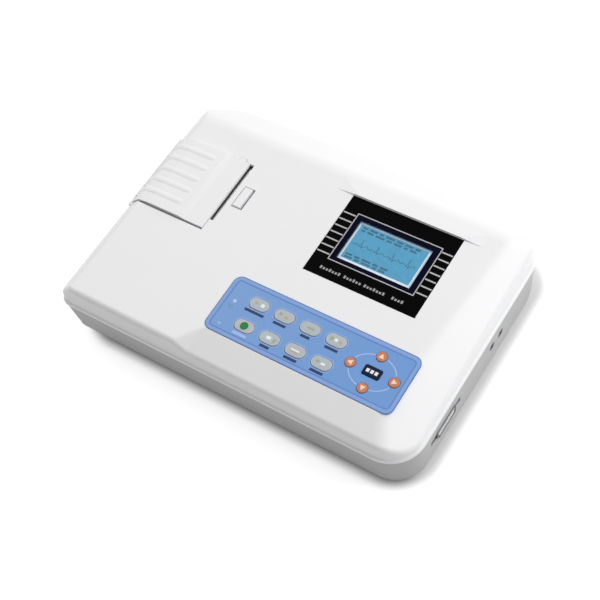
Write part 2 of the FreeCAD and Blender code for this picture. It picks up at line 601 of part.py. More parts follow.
IDLER = (PLATEN[0], PLATEN[1] - MODULE * (TEETH_PLATEN + TEETH_IDLER) / 2)
AWAY = -27.0
REACH = MODULE * (TEETH_IDLER + TEETH_PINION) / 2
PINION = (IDLER[0] + REACH * math.cos(math.radians(AWAY)), IDLER[1] + REACH * math.sin(math.radians(AWAY)))
gy0, gy1 = GEAR_Y

save("platen_roller", panel(rod_y(PLATEN_R, *PLATEN, -4.6, 46.4).cut(rod_y(SHAFT_R + 0.02, *PLATEN, -6, 48))))
save("platen_shaft", panel(rod_y(SHAFT_R, *PLATEN, -13.4, 50.8)))
save("platen_gear", panel(gear(TEETH_PLATEN, *PLATEN, gy0, gy1, -90.0, SHAFT_R + 0.02)))
save("idler_gear", panel(gear(TEETH_IDLER, *IDLER, gy0, gy1, 90.0 + 180.0 / TEETH_IDLER, 1.08)))
pinion = gear(TEETH_PINION, *PINION, gy0, gy1, AWAY + 180.0 + 180.0 / TEETH_PINION, 0.9)
save("motor_pinion", panel(pinion.fuse(rod_y(1.0, *PINION, gy0, 4.0)).removeSplitter()))
motor = rod_y(10.0, *PINION, -7.6, 6.4)
motor = motor.fuse(box(PINION[0] - 14, PINION[0] + 14, -7.6, -6.6, PINION[1] - 3.5, PINION[1] + 3.5))
save("stepper_motor", panel(motor.removeSplitter().cut(rod_y(1.08, *PINION, -9, 4.6))))

plate = box(-90, -62, -9.2, -7.6, -34, -3.0)
plate = plate.cut(box(PLATEN[0] - 2.8, PLATEN[0] + 2.8, -10, -7, PLATEN[1] - 2.8, 0))
plate = plate.cut(rod_y(2.2, *PINION, -10, -7))
bracket = fuse(
    plate,
    rod_y(1.0, *IDLER, -13.4, -9.2),
    box(-69.8, -68.3, -8.0, 47.0, -12.8, -3.0),
    box(-69.8, -68.3, 8.0, 47.0, -16.0, -3.0),
    box(-69.8, -50.0, 8.0, 47.0, -16.0, -14.4),
    box(-68.4, -66.8, -8.0, 8.0, -6.0, -2.5),
    box(-68.4, -66.8, 32.0, 46.0, -6.0, -2.5),
)
save("printer_frame", panel(bracket))
save("print_head", panel(box(-74.2, -72.8, -4.6, 46.6, -13.0, -3.5)))
save("print_head_sink", panel(box(-72.8, -69.8, -4.6, 46.6, -12.6, -3.4)))

# Paper bay and roll
by0, by1 = -5.0, 48.8
bay = box(-131.0, -85.0, by0, by1, -50.0, -6.0).cut(box(-129.4, -86.6, by0 + 1.6, by1 - 1.6, -48.4, 0))
rx, rz = ROLL
bay = bay.cut([box(rx - 3.2, rx + 3.2, by0 - 1, by1 + 1, rz, 0), rod_y(3.2, rx, rz, by0 - 1, by1 + 1)])
bay = panel(bay)
for x, y in ((-122.0, 4.0), (-94.0, 4.0), (-122.0, 40.0), (-94.0, 40.0)):
    leg_top = panel_z(y) - 49.2
    bay = bay.fuse(rod_z(4.0, x, y, FOOT_H + WALL, leg_top))
save("paper_bay", bay.removeSplitter())
save("paper_roll", panel(rod_y(ROLL_R, rx, rz, -2.8, 46.6).cut(rod_y(6.2, rx, rz, -4, 48))))
spindle = fuse(rod_y(6.0, rx, rz, -2.8, 46.6), rod_y(2.8, rx, rz, -6.2, 50.0))
save("paper_spindle", panel(spindle))

# Cover release
bx0, bx1, bfy0, bfy1 = BUTTON
cap = box(bx0, bx1, bfy0, bfy1, -4.0, 0.8)
cap = cap.makeFillet(0.6, [e for e in cap.Edges if mid(e).z > 0.79])
cap = fuse(
    cap,
    box(bx0 - 1.6, bx1, bfy0 - 1.6, bfy1 + 1.6, -4.4, -3.0),
    prism_y([(-64.0, -4.2), (-58.0, -4.2), (-58.0, -5.2), (-64.0, -11.2)], 14.2, 26.2),
)
save("release_button", panel(cap))
crest = -5.2 - BUTTON_TRAVEL
ramp = [(-64.0, -11.7), (crest - 52.3, crest), (-54.0, crest), (-54.0, -14.0), (-64.0, -14.0)]
catch = fuse(
    prism_y(ramp, 14.2, 26.2),
    box(-58.0, -54.0, 26.0, 51.0, -14.0, -9.6),
    box(-77.0, -54.0, 49.3, 51.0, -11.0, -7.0),
)
save("latch_slider", panel(catch))
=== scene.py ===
import json
import math

import bmesh
import bpy
from mathutils import Matrix, Vector


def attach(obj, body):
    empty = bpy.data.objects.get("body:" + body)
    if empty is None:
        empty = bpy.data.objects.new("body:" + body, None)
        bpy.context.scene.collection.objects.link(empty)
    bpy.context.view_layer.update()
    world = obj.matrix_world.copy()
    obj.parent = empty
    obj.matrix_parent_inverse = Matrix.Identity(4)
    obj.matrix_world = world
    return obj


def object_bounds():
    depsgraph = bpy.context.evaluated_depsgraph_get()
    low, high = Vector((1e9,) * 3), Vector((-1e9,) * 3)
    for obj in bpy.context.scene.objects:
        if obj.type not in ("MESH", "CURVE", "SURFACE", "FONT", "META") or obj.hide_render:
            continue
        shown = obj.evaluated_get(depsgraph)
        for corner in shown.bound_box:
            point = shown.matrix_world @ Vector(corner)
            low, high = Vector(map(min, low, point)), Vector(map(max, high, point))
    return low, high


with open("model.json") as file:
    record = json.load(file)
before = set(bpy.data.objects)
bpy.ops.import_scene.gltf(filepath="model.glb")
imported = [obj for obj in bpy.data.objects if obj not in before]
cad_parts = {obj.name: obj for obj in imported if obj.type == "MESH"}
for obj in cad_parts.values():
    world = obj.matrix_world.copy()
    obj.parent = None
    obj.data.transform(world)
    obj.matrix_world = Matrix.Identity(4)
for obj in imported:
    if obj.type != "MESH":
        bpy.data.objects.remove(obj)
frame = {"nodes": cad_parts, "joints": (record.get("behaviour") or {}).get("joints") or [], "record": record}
cad_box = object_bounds()

# Portable electrocardiograph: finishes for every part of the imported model, the
# printed graphics of its display and keypad, and a pale studio. Metres; the
# graphics are laid out in millimetres in the plane of the tilted panel.

MM = 0.001

# Panel frame: x to the right, y up the panel, z out of it
PRESS_AXIS = next(j["axis"] for j in frame["joints"] if j["name"] == "release_press")
PANEL_TILT = math.atan2(PRESS_AXIS[1], -PRESS_AXIS[2])
PANEL_FRONT_Z = 0.060
FRONT_Y = cad_box[0].y
PANEL = (
    Matrix.Translation((0, FRONT_Y, PANEL_FRONT_Z))
    @ Matrix.Rotation(PANEL_TILT, 4, "X")
    @ Matrix.Translation((0, -FRONT_Y, 0))
    @ Matrix.Scale(MM, 4)
)

# Print layers, in millimetres above the panel
INK = 0.06
BEZEL_TOP = 0.0
FILM_TOP = 0.2
KEY_TOP = 0.8
LCD_TOP = -2.0

# Display layout
BEZEL_X = (11.0, 99.0)
FRAME_LINE = (22.0, 89.8, 2.7, 45.4)
FRAME_LINE_W = 0.75
TICK_Y = [24.3 + 6.0 * k for k in range(-3, 4)]
TICK_SIZE = [(10.0, 1.1), (8.2, 1.1)]
CAPTION_Y = -5.2
CAPTION_H = (1.7, 2.3)
CAPTION_BLOCKS = [(21.0, 7), (40.0, 6), (56.0, 7), (77.6, 4)]
CAPTION_PITCH = 2.4
CAPTION_W = 1.5
SURROUND_GAP = (0.2, 0.3)
LCD = (26.9, 84.3, 6.8, 40.6)
LCD_LIT = (28.3, 81.9, 9.4, 39.5)
LCD_INDENT = 2.0
ROW_H = 1.6
ROW_GAP = 1.8
TOP_ROWS = [(2.0, (4, 6, 3, 7, 5, 6, 4)), (4.6, (3, 5, 7, 4, 6, 3, 5))]
LOW_ROWS = [(4.2, (5, 4, 7, 4, 6)), (1.8, (6, 4, 7, 3, 5))]
BEAT = [
    (0, 0), (2.0, 0), (3.0, 1.2), (4.0, 0), (5.0, 0), (5.5, -1.0), (6.3, 5.4), (7.1, -1.8),
    (7.7, 0), (9.2, 0), (10.6, 1.9), (12.0, 0),
]
BEATS = 4
BEAT_PITCH = 12.4
BEAT_DROP = 1.5
TRACE_W = 0.5

# Keypad layout
FILM = (-26.8, 120.5, -82.4, -36.3)
FILM_R = 6.0
RIM_W = 0.6
BORDER = (3.0, 3.9)
KEY_X = [0.3, 20.8, 41.3, 61.8]
KEY_Y = [-50.6, -69.6]
KEY_SIZE = (15.2, 9.0)
HALO = (0.35, 1.2)
FACE = (12.0, 6.0)
FACE_R = 2.8
LEGEND_DROP = 6.9
LEGEND_H = 2.0
LEGEND_W = [15.4, 9.8, 7.2, 10.0, 11.0, 7.4, 10.0, 10.0]
PAD_C = (94.7, -59.9)
PAD_R = (16.5, 12.8)
PAD_RING_W = 0.8
PAD_KEY_GAP = 4.4
ARROW_SIZE = 2.1
ARROW = [(1.0, 0.0), (-0.7, 0.95), (-0.7, -0.95)]
LIGHT_X = -17.0
LIGHT_Y = (-61.0, -55.6)
LIGHT_MARK_Y = -75.0
LIGHT_MARK_SIZE = (3.0, 1.2)
CENTRE_BAR_X = (-3.2, 0.0, 3.2)
CENTRE_BAR_SIZE = (2.2, 2.6)
START_R = 3.0

# Pictograms on the keys: ink, place from the middle of the key, width and height
ICONS = {
    "key_f1": [("chalk_ink", 2.9, 0.0, 2.6, 2.6), ("sand_ink", -2.2, 0.3, 2.4, 1.2)],
    "key_f2": [("leaf_ink", -3.2, 0.6, 2.4, 2.2), ("amber_ink", 1.8, -0.6, 3.0, 1.8)],
    "key_f3": [("sand_ink", 0.6, 0.0, 5.6, 1.4)],
    "key_f4": [
        ("leaf_ink", -3.4, 0.2, 2.4, 2.6),
        ("chalk_ink", 0.0, 0.2, 2.2, 2.2),
        ("amber_ink", 3.6, -0.2, 2.2, 2.2),
    ],
    "key_f5": [],
    "key_f6": [("chalk_ink", -0.6, 0.0, 3.4, 2.4), ("leaf_ink", 4.0, -0.6, 1.8, 2.8)],
    "key_f7": [("chalk_ink", 0.0, 0.0, 6.4, 1.2), ("amber_ink", 0.0, -1.5, 6.4, 0.8)],
    "key_f8": [("leaf_ink", -3.0, 0.3, 2.6, 2.0), ("chalk_ink", 1.4, -0.3, 3.2, 1.6)],
}

# Camera, from the vanishing lines of the case's edges
CAMERA_AT = (0.33215, -0.36245, 0.71525)
CAMERA_AZIMUTH = math.radians(43.317)
CAMERA_ELEVATION = math.radians(55.372)
CAMERA_ROLL = math.radians(13.109)
CAMERA_LENS = 70.198
CAMERA_SENSOR = 36.0

# Studio
FLOOR_HALF = 4.0
FLOOR_Z = -0.0002
FLOOR_COLOR = (0.76, 0.76, 0.765, 1)
FOOT_CENTRE = (0.003, 0.003)
FOOT_HALF = (0.115, 0.075)
FOOT_CORNER = 0.025
GLOW_REACH = 0.012
GLOW = 0.65
WORLD_LIGHT = (0.32, 0.72)
KEY_AT = (0.78, 0.66, 1.06)
KEY_LAMP_SIZE = 1.2
KEY_POWER = 13.2
FILL_AT = (-1.00, 0.20, 0.90)
FILL_SIZE = 1.0
FILL_POWER = 3.0


# Materials
def new_material(name):
    mat = bpy.data.materials.new(name)
    mat.use_nodes = True
    return mat, mat.node_tree.nodes, mat.node_tree.links, mat.node_tree.nodes["Principled BSDF"]


def noise(nodes, links, vector, scale, detail):
    node = nodes.new("ShaderNodeTexNoise")
    node.inputs["Scale"].default_value = scale
    node.inputs["Detail"].default_value = detail
    links.new(vector, node.inputs["Vector"])
    return node.outputs["Fac"]


def spread_color(nodes, links, factor, color, spread):
    mix = nodes.new("ShaderNodeMix")
    mix.data_type = "RGBA"
    mix.inputs["A"].default_value = [c * (1 - spread) for c in color] + [1]
    mix.inputs["B"].default_value = [min(1, c * (1 + spread)) for c in color] + [1]
    links.new(factor, mix.inputs["Factor"])
    return mix.outputs["Result"]


def surface(
    name, color, roughness, grain=2200.0, bump=0.08, spread=0.04,
    metal=0.0, stretch=(1, 1, 1), coat=0.0, shine=0.5,
):
    """Moulded, rolled or painted stock: drifting tone, uneven gloss and a fine grain."""
    mat, nodes, links, shader = new_material(name)
    shader.inputs["Metallic"].default_value = metal
    shader.inputs["Specular IOR Level"].default_value = shine
    shader.inputs["Coat Weight"].default_value = coat
    shader.inputs["Coat Roughness"].default_value = 0.12
    coords = nodes.new("ShaderNodeTexCoord")
    mapping = nodes.new("ShaderNodeMapping")
    mapping.inputs["Scale"].default_value = stretch
    links.new(coords.outputs["Object"], mapping.inputs["Vector"])
    vector = mapping.outputs["Vector"]
    drift = noise(nodes, links, vector, 24.0, 3.0)
    links.new(spread_color(nodes, links, drift, color, spread), shader.inputs["Base Color"])
    fine = noise(nodes, links, vector, grain, 4.0)
    gloss = nodes.new("ShaderNodeMapRange")
    gloss.inputs["To Min"].default_value = max(0.02, roughness - 0.08)
    gloss.inputs["To Max"].default_value = min(1.0, roughness + 0.08)
    links.new(fine, gloss.inputs["Value"])
    links.new(gloss.outputs["Result"], shader.inputs["Roughness"])
    relief = nodes.new("ShaderNodeBump")
    relief.inputs["Strength"].default_value = bump
    relief.inputs["Distance"].default_value = 0.0002
    links.new(fine, relief.inputs["Height"])
    links.new(relief.outputs["Normal"], shader.inputs["Normal"])
    return mat


def window_material():
    mat = surface("clear_window", (0.80, 0.90, 0.96), 0.40, grain=300.0, bump=0.01, spread=0.02, shine=0.1)
    mat.node_tree.nodes["Principled BSDF"].inputs["Alpha"].default_value = 0.04
    return mat


def lcd_material():
    """Back-lit panel with a blotchy glow."""
    mat = surface("lcd_blue", (0.012, 0.155, 0.267), 0.35, grain=160.0, bump=0.01, spread=0.16)
    nodes, links = mat.node_tree.nodes, mat.node_tree.links
    shader = nodes["Principled BSDF"]
    coords = nodes.new("ShaderNodeTexCoord")
    glow = noise(nodes, links, coords.outputs["Object"], 260.0, 3.0)
    color = spread_color(nodes, links, glow, (0.010, 0.142, 0.250), 0.40)
    links.new(color, shader.inputs["Emission Color"])
    shader.inputs["Emission Strength"].default_value = 1.0
    return mat


def board_material():
    """Green solder mask with lighter copper runs under it."""
    mat = surface("circuit_board", (0.03, 0.18, 0.08), 0.38, grain=900.0, bump=0.05, spread=0.10)
    nodes, links = mat.node_tree.nodes, mat.node_tree.links
    coords = nodes.new("ShaderNodeTexCoord")
    runs = nodes.new("ShaderNodeTexBrick")
    runs.inputs["Scale"].default_value = 160.0
    runs.inputs["Mortar Size"].default_value = 0.03
    runs.inputs["Color1"].default_value = (0.020, 0.150, 0.060, 1)
    runs.inputs["Color2"].default_value = (0.028, 0.175, 0.075, 1)
    runs.inputs["Mortar"].default_value = (0.070, 0.300, 0.130, 1)
    links.new(coords.outputs["Object"], runs.inputs["Vector"])
    links.new(runs.outputs["Color"], nodes["Principled BSDF"].inputs["Base Color"])
    return mat


def fade_along(mat, axis, ends, first, last):
    """Base colour that runs from first to last between two places along an axis."""
    nodes, links = mat.node_tree.nodes, mat.node_tree.links
    coords = nodes.new("ShaderNodeTexCoord")
    split = nodes.new("ShaderNodeSeparateXYZ")
    links.new(coords.outputs["Object"], split.inputs["Vector"])
    fade = nodes.new("ShaderNodeMapRange")
    fade.interpolation_type = "SMOOTHSTEP"
    fade.inputs["From Min"].default_value = ends[0] * MM
    fade.inputs["From Max"].default_value = ends[1] * MM
    links.new(split.outputs[axis], fade.inputs["Value"])
    grain = noise(nodes, links, coords.outputs["Object"], 40.0, 3.0)
    blend = nodes.new("ShaderNodeMix")
    blend.data_type = "RGBA"
    links.new(fade.outputs["Result"], blend.inputs["Factor"])
    links.new(spread_color(nodes, links, grain, first, 0.05), blend.inputs["A"])
    links.new(spread_color(nodes, links, grain, last, 0.05), blend.inputs["B"])
    links.new(blend.outputs["Result"], nodes["Principled BSDF"].inputs["Base Color"])


def film_material():
    """Printed film, paler towards its left end."""
    mat = surface("keypad_blue", (0.135, 0.300, 0.665), 0.42, bump=0.07, spread=0.05)
    fade_along(mat, "X", (FILM[0], PAD_C[0]), (0.188, 0.348, 0.675), (0.155, 0.318, 0.655))
    return mat


def light_material():
    """Indicator lenses: the front one dark, the rear one pale."""
    mat = surface("light_green", (0.32, 0.52, 0.62), 0.20, bump=0.02, spread=0.06, coat=0.4)
    fade_along(mat, "Y", LIGHT_Y, (0.130, 0.330, 0.480), (0.430, 0.580, 0.900))
    return mat


BRUSHED = (1, 14, 1)
FINISHES = {
    "case_white": surface("case_white", (0.85, 0.85, 0.86), 0.42, bump=0.05, spread=0.012, coat=0.10),
    "case_grey": surface("case_grey", (0.47, 0.47, 0.475), 0.38, bump=0.14, spread=0.03, shine=0.1),
    "rubber": surface("rubber", (0.045, 0.045, 0.048), 0.82, grain=900.0, bump=0.25, spread=0.12),
    "steel": surface("steel", (0.56, 0.56, 0.57), 0.30, grain=700.0, bump=0.10, metal=1.0, stretch=BRUSHED),
    "battery_wrap": surface("battery_wrap", (0.06, 0.13, 0.32), 0.34, grain=500.0, bump=0.06, spread=0.08),
    "circuit_board": board_material(),
    "black_plastic": surface("black_plastic", (0.028, 0.028, 0.031), 0.46, bump=0.14, spread=0.12),
    "brass": surface("brass", (0.66, 0.50, 0.24), 0.26, grain=700.0, metal=1.0, stretch=BRUSHED),
    "rocker_black": surface("rocker_black", (0.022, 0.022, 0.024), 0.24, bump=0.04, spread=0.10, coat=0.2),
    "bezel_black": surface("bezel_black", (0.0016, 0.0016, 0.0020), 0.30, bump=0.02, spread=0.15, shine=0.03),
    "clear_window": window_material(),
    "lcd_blue": lcd_material(),
    "keypad_blue": film_material(),
    "light_green": light_material(),
    "gear_white": surface("gear_white", (0.78, 0.77, 0.73), 0.42, bump=0.06, spread=0.03),
    # dark_zinc: zinc-plated socket metal whose dark tone is partly painted shade, standing in for the shadow
    # inside the socket's recesses.
    "dark_zinc": surface("dark_zinc", (0.30, 0.30, 0.31), 0.34, grain=700.0, metal=0.9, stretch=BRUSHED),
    "socket_grey": surface("socket_grey", (0.62, 0.62, 0.62), 0.46, bump=0.10, spread=0.05),
    "jack_grey": surface("jack_grey", (0.120, 0.120, 0.124), 0.50, bump=0.12, spread=0.10),
    "motor_can": surface("motor_can", (0.20, 0.20, 0.21), 0.36, grain=700.0, metal=0.8, stretch=BRUSHED),
    "head_ceramic": surface("head_ceramic", (0.09, 0.08, 0.07), 0.22, grain=500.0, bump=0.04, spread=0.10),
    "aluminium": surface("aluminium", (0.72, 0.72, 0.74), 0.30, grain=700.0, metal=1.0, stretch=BRUSHED),
    "bay_grey": surface("bay_grey", (0.19, 0.19, 0.20), 0.52, bump=0.14, spread=0.06),
    "paper": surface("paper", (0.90, 0.89, 0.86), 0.80, grain=1500.0, bump=0.10, spread=0.03),
    "key_cream": surface("key_cream", (0.46, 0.495, 0.545), 0.46, grain=1600.0, bump=0.10, spread=0.05),
    "key_orange": surface("key_orange", (0.58, 0.205, 0.100), 0.42, grain=1600.0, bump=0.08, spread=0.06),
    "key_black": surface("key_black", (0.008, 0.017, 0.046), 0.40, grain=1600.0, spread=0.12, shine=0.1),
}
INKS = {
    "white_ink": surface("white_ink", (0.46, 0.46, 0.47), 0.55, bump=0.03),
    "faint_ink": surface("faint_ink", (0.33, 0.33, 0.34), 0.55, bump=0.03),
    "cream_ink": surface("cream_ink", (0.440, 0.497, 0.520), 0.50, bump=0.03),
    "halo_ink": surface("halo_ink", (0.260, 0.410, 0.740), 0.50, bump=0.03),
    "pale_blue_ink": surface("pale_blue_ink", (0.36, 0.50, 0.84), 0.50, bump=0.03),
    "lilac_ink": surface("lilac_ink", (0.225, 0.365, 0.690), 0.50, bump=0.03),
    "mid_blue_ink": surface("mid_blue_ink", (0.105, 0.225, 0.560), 0.50, bump=0.03),
    "deep_blue_ink": surface("deep_blue_ink", (0.070, 0.170, 0.420), 0.50, bump=0.03),
    "navy_ink": surface("navy_ink", (0.011, 0.040, 0.130), 0.50, bump=0.03),
    "green_ink": surface("green_ink", (0.010, 0.190, 0.045), 0.50, bump=0.03),
    "peach_ink": surface("peach_ink", (0.86, 0.68, 0.54), 0.50, bump=0.03),
    "sand_ink": surface("sand_ink", (0.42, 0.37, 0.28), 0.50, bump=0.03),
    "chalk_ink": surface("chalk_ink", (0.84, 0.84, 0.84), 0.50, bump=0.03),
    "lcd_dark": surface("lcd_dark", (0.008, 0.125, 0.225), 0.50, bump=0.03, shine=0.05),
    "lcd_pale": surface("lcd_pale", (0.78, 0.88, 0.96), 0.50, bump=0.03),
    "surround_ink": surface("surround_ink", (0.0022, 0.0026, 0.0140), 0.50, bump=0.03, shine=0.03),
    "leaf_ink": surface("leaf_ink", (0.330, 0.420, 0.230), 0.50, bump=0.03),
    "amber_ink": surface("amber_ink", (0.560, 0.370, 0.200), 0.50, bump=0.03),
}
for part in frame["record"]["subparts"]:
    node = frame["nodes"][part["node"]]
    node.data.materials.clear()
    node.data.materials.append(FINISHES[part["material_slot"]])


# Thin printed shapes
def rectangle(x0, x1, y0, y1):
    return [(x0, y0), (x1, y0), (x1, y1), (x0, y1)]


def centred(cx, cy, width, height):
    return rectangle(cx - width / 2, cx + width / 2, cy - height / 2, cy + height / 2)


def ellipse_arc(cx, cy, rx, ry, start, end, steps):
    points = []
    for i in range(steps + 1):
        a = start + (end - start) * i / steps
        points.append((cx + rx * math.cos(a), cy + ry * math.sin(a)))
    return points


def disc(cx, cy, r, sides=40):
    return ellipse_arc(cx, cy, r, r, 0, math.tau * (sides - 1) / sides, sides - 1)


def rounded(x0, x1, y0, y1, r, steps=10):
    points = []
    corners = [(x1 - r, y0 + r, -0.5), (x1 - r, y1 - r, 0.0), (x0 + r, y1 - r, 0.5), (x0 + r, y0 + r, 1.0)]
    for cx, cy, turn in corners:
        points += ellipse_arc(cx, cy, r, r, math.pi * turn, math.pi * (turn + 0.5), steps)
    return points


def plate(outline, low):
    """Closed slab over an outline."""
    n = len(outline)
    verts = [(x, y, low) for x, y in outline] + [(x, y, low + INK) for x, y in outline]
    faces = [tuple(reversed(range(n))), tuple(range(n, 2 * n))]
    faces += [(i, (i + 1) % n, n + (i + 1) % n, n + i) for i in range(n)]
    return verts, faces


def band(outer, inner, low):
    """Closed slab between two outlines of as many points."""
    n = len(outer)
    rings = [(outer, low), (outer, low + INK), (inner, low + INK), (inner, low)]
    verts = [(x, y, z) for loop, z in rings for x, y in loop]
    faces = []
    for k in range(4):
        a, b = k * n, (k + 1) % 4 * n
        faces += [(a + i, a + (i + 1) % n, b + (i + 1) % n, b + i) for i in range(n)]
    return verts, faces


def ribbon(points, width, low):
    """Closed slab along an open line."""
    left, right = [], []
    for i, (x, y) in enumerate(points):
        x0, y0 = points[max(i - 1, 0)]
        x1, y1 = points[min(i + 1, len(points) - 1)]
        length = math.hypot(x1 - x0, y1 - y0)
        ox, oy = -(y1 - y0) / length * width / 2, (x1 - x0) / length * width / 2
        left.append((x + ox, y + oy))
        right.append((x - ox, y - oy))
    n = len(points)
    verts = []
    for loop, z in ((left, low), (left, low + INK), (right, low + INK), (right, low)):
        verts += [(x, y, z) for x, y in loop]
    faces = [(0, n, 2 * n, 3 * n), (n - 1, 4 * n - 1, 3 * n - 1, 2 * n - 1)]
    for k in range(4):
        a, b = k * n, (k + 1) % 4 * n
        faces += [(a + i, a + i + 1, b + i + 1, b + i) for i in range(n - 1)]
    return verts, faces


def fix_normals(mesh):
    bm = bmesh.new()
    bm.from_mesh(mesh)
    bmesh.ops.recalc_face_normals(bm, faces=bm.faces)
    bm.to_mesh(mesh)
    bm.free()


def inked(name, shapes, ink, body="base"):
    """One printed piece from several slabs, laid on the panel and riding on a body."""
    verts, faces = [], []
    for v, f in shapes:
        faces += [tuple(len(verts) + i for i in face) for face in f]
        verts += v
    mesh = bpy.data.meshes.new(name)
    mesh.from_pydata(verts, [], faces)
    mesh.transform(PANEL)
    mesh.update()
    piece = bpy.data.objects.new(name, mesh)
    bpy.context.scene.collection.objects.link(piece)
    mesh.materials.append(INKS[ink])
    fix_normals(mesh)
    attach(piece, body)


# Display graphics
def inset(rect, d):
    x0, x1, y0, y1 = rect
    return x0 + d, x1 - d, y0 + d, y1 - d


def display_graphics():
    outer = rectangle(*FRAME_LINE)
    inner = rectangle(*inset(FRAME_LINE, FRAME_LINE_W))
    inked("display_frame_line", [band(outer, inner, BEZEL_TOP)], "white_ink")
    ticks = []
    for y in TICK_Y:
        for side, size in enumerate(TICK_SIZE):
            ticks.append(plate(centred((BEZEL_X[side] + FRAME_LINE[side]) / 2, y, *size), BEZEL_TOP))
    inked("display_ticks", ticks, "white_ink")
    blocks = []
    for start, count in CAPTION_BLOCKS:
        for k in range(count):
            x = start + CAPTION_PITCH * k
            foot = CAPTION_Y - CAPTION_H[0] / 2
            height = CAPTION_H[1] if k % 3 == 0 else CAPTION_H[0]
            blocks.append(plate(rectangle(x, x + CAPTION_W, foot, foot + height), BEZEL_TOP))
    inked("display_caption_blocks", blocks, "faint_ink")
    outer = rectangle(*inset(FRAME_LINE, FRAME_LINE_W + SURROUND_GAP[0]))
    inner = rectangle(*inset(LCD, -SURROUND_GAP[1]))
    inked("display_surround", [band(outer, inner, BEZEL_TOP)], "surround_ink")


def lcd_graphics():
    x0, _, y0, y1 = LCD_LIT
    edge = band(rectangle(*LCD), rectangle(*LCD_LIT), LCD_TOP)
    inked("lcd_edge", [edge], "lcd_pale")
    rows = []
    levels = [(y1 - drop, lengths) for drop, lengths in TOP_ROWS]
    levels += [(y0 + rise, lengths) for rise, lengths in LOW_ROWS]
    for y, lengths in levels:
        x = x0 + LCD_INDENT
        for length in lengths:
            rows.append(plate(rectangle(x, x + length, y - ROW_H / 2, y + ROW_H / 2), LCD_TOP))
            x += length + ROW_GAP
    inked("lcd_status_rows", rows, "lcd_dark")
    line = []
    for k in range(BEATS):
        start, level = x0 + LCD_INDENT + BEAT_PITCH * k, (y0 + y1) / 2 - BEAT_DROP
        line += [(start + x, level + y) for x, y in BEAT]
    inked("lcd_trace", [ribbon(line, TRACE_W, LCD_TOP)], "lcd_dark")


# Keypad graphics
def keypad_graphics():
    rim, margin, line, end = [rounded(*inset(FILM, d), FILM_R - d) for d in (0.05, RIM_W) + BORDER]
    inked("keypad_rim", [band(rim, margin, FILM_TOP)], "deep_blue_ink")
    inked("keypad_margin", [band(margin, line, FILM_TOP)], "lilac_ink")
    inked("keypad_border", [band(line, end, FILM_TOP)], "mid_blue_ink")
    halos = []
    for y in KEY_Y:
        for x in KEY_X:
            pill = (x - KEY_SIZE[0] / 2, x + KEY_SIZE[0] / 2, y - KEY_SIZE[1] / 2, y + KEY_SIZE[1] / 2)
            inner, outer = [rounded(*inset(pill, -d), KEY_SIZE[1] / 2 + d - 0.01) for d in HALO]
            halos.append(band(outer, inner, FILM_TOP))
    inked("key_halos", halos, "halo_ink")
    legends = []
    for i, width in enumerate(LEGEND_W):
        cx, cy = KEY_X[i % 4], KEY_Y[i // 4] - LEGEND_DROP
        legends.append(plate(centred(cx, cy, width, LEGEND_H), FILM_TOP))
    pale = legends.pop(4)
    inked("key_legends", legends, "navy_ink")
    inked("key_legend_pale", [pale], "pale_blue_ink")
    arcs = []
    gap_x = math.asin(PAD_KEY_GAP / PAD_R[0])
    gap_y = math.asin(PAD_KEY_GAP / PAD_R[1])
    for k in range(4):
        low, high = (gap_y, gap_x) if k % 2 == 0 else (gap_x, gap_y)
        start, end = k * math.pi / 2 + low, (k + 1) * math.pi / 2 - high
        arcs.append(ribbon(ellipse_arc(*PAD_C, *PAD_R, start, end, 16), PAD_RING_W, FILM_TOP))
    inked("pad_ring", arcs, "pale_blue_ink")
    mark = plate(centred(LIGHT_X, LIGHT_MARK_Y, *LIGHT_MARK_SIZE), FILM_TOP)
    inked("light_mark", [mark], "pale_blue_ink")


def key_graphics():
    """Small plain pictograms on the keys, each piece riding on its own key's body."""
    arrows = {"key_up": (0, 1), "key_down": (0, -1), "key_left": (-1, 0), "key_right": (1, 0)}
    for key, (dx, dy) in arrows.items():
        cx, cy = PAD_C[0] + PAD_R[0] * dx, PAD_C[1] + PAD_R[1] * dy
        outline = []
        for along, across in ARROW:
            x, y = along * dx - across * dy, along * dy + across * dx
            outline.append((cx + ARROW_SIZE * x, cy + ARROW_SIZE * y))
        inked(key + "_arrow", [plate(outline, KEY_TOP)], "peach_ink", key)
    bars = [plate(centred(PAD_C[0] + x, PAD_C[1], *CENTRE_BAR_SIZE), KEY_TOP) for x in CENTRE_BAR_X]
    inked("key_center_mark", bars, "chalk_ink", "key_center")
    for place, (key, icon) in enumerate(ICONS.items()):
        cx, cy = KEY_X[place % 4], KEY_Y[place // 4]
        ground = rounded(cx - FACE[0] / 2, cx + FACE[0] / 2, cy - FACE[1] / 2, cy + FACE[1] / 2, FACE_R)
        inked(key + "_face", [plate(ground, KEY_TOP)], "cream_ink", key)
        for ink, dx, dy, width, height in icon:
            shape = plate(centred(cx + dx, cy + dy, width, height), KEY_TOP + INK)
            inked(key + "_" + ink, [shape], ink, key)
    start = plate(disc(KEY_X[0], KEY_Y[1], START_R), KEY_TOP + INK)
    inked("key_f5_disc", [start], "green_ink", "key_f5")


display_graphics()
lcd_graphics()
keypad_graphics()
key_graphics()


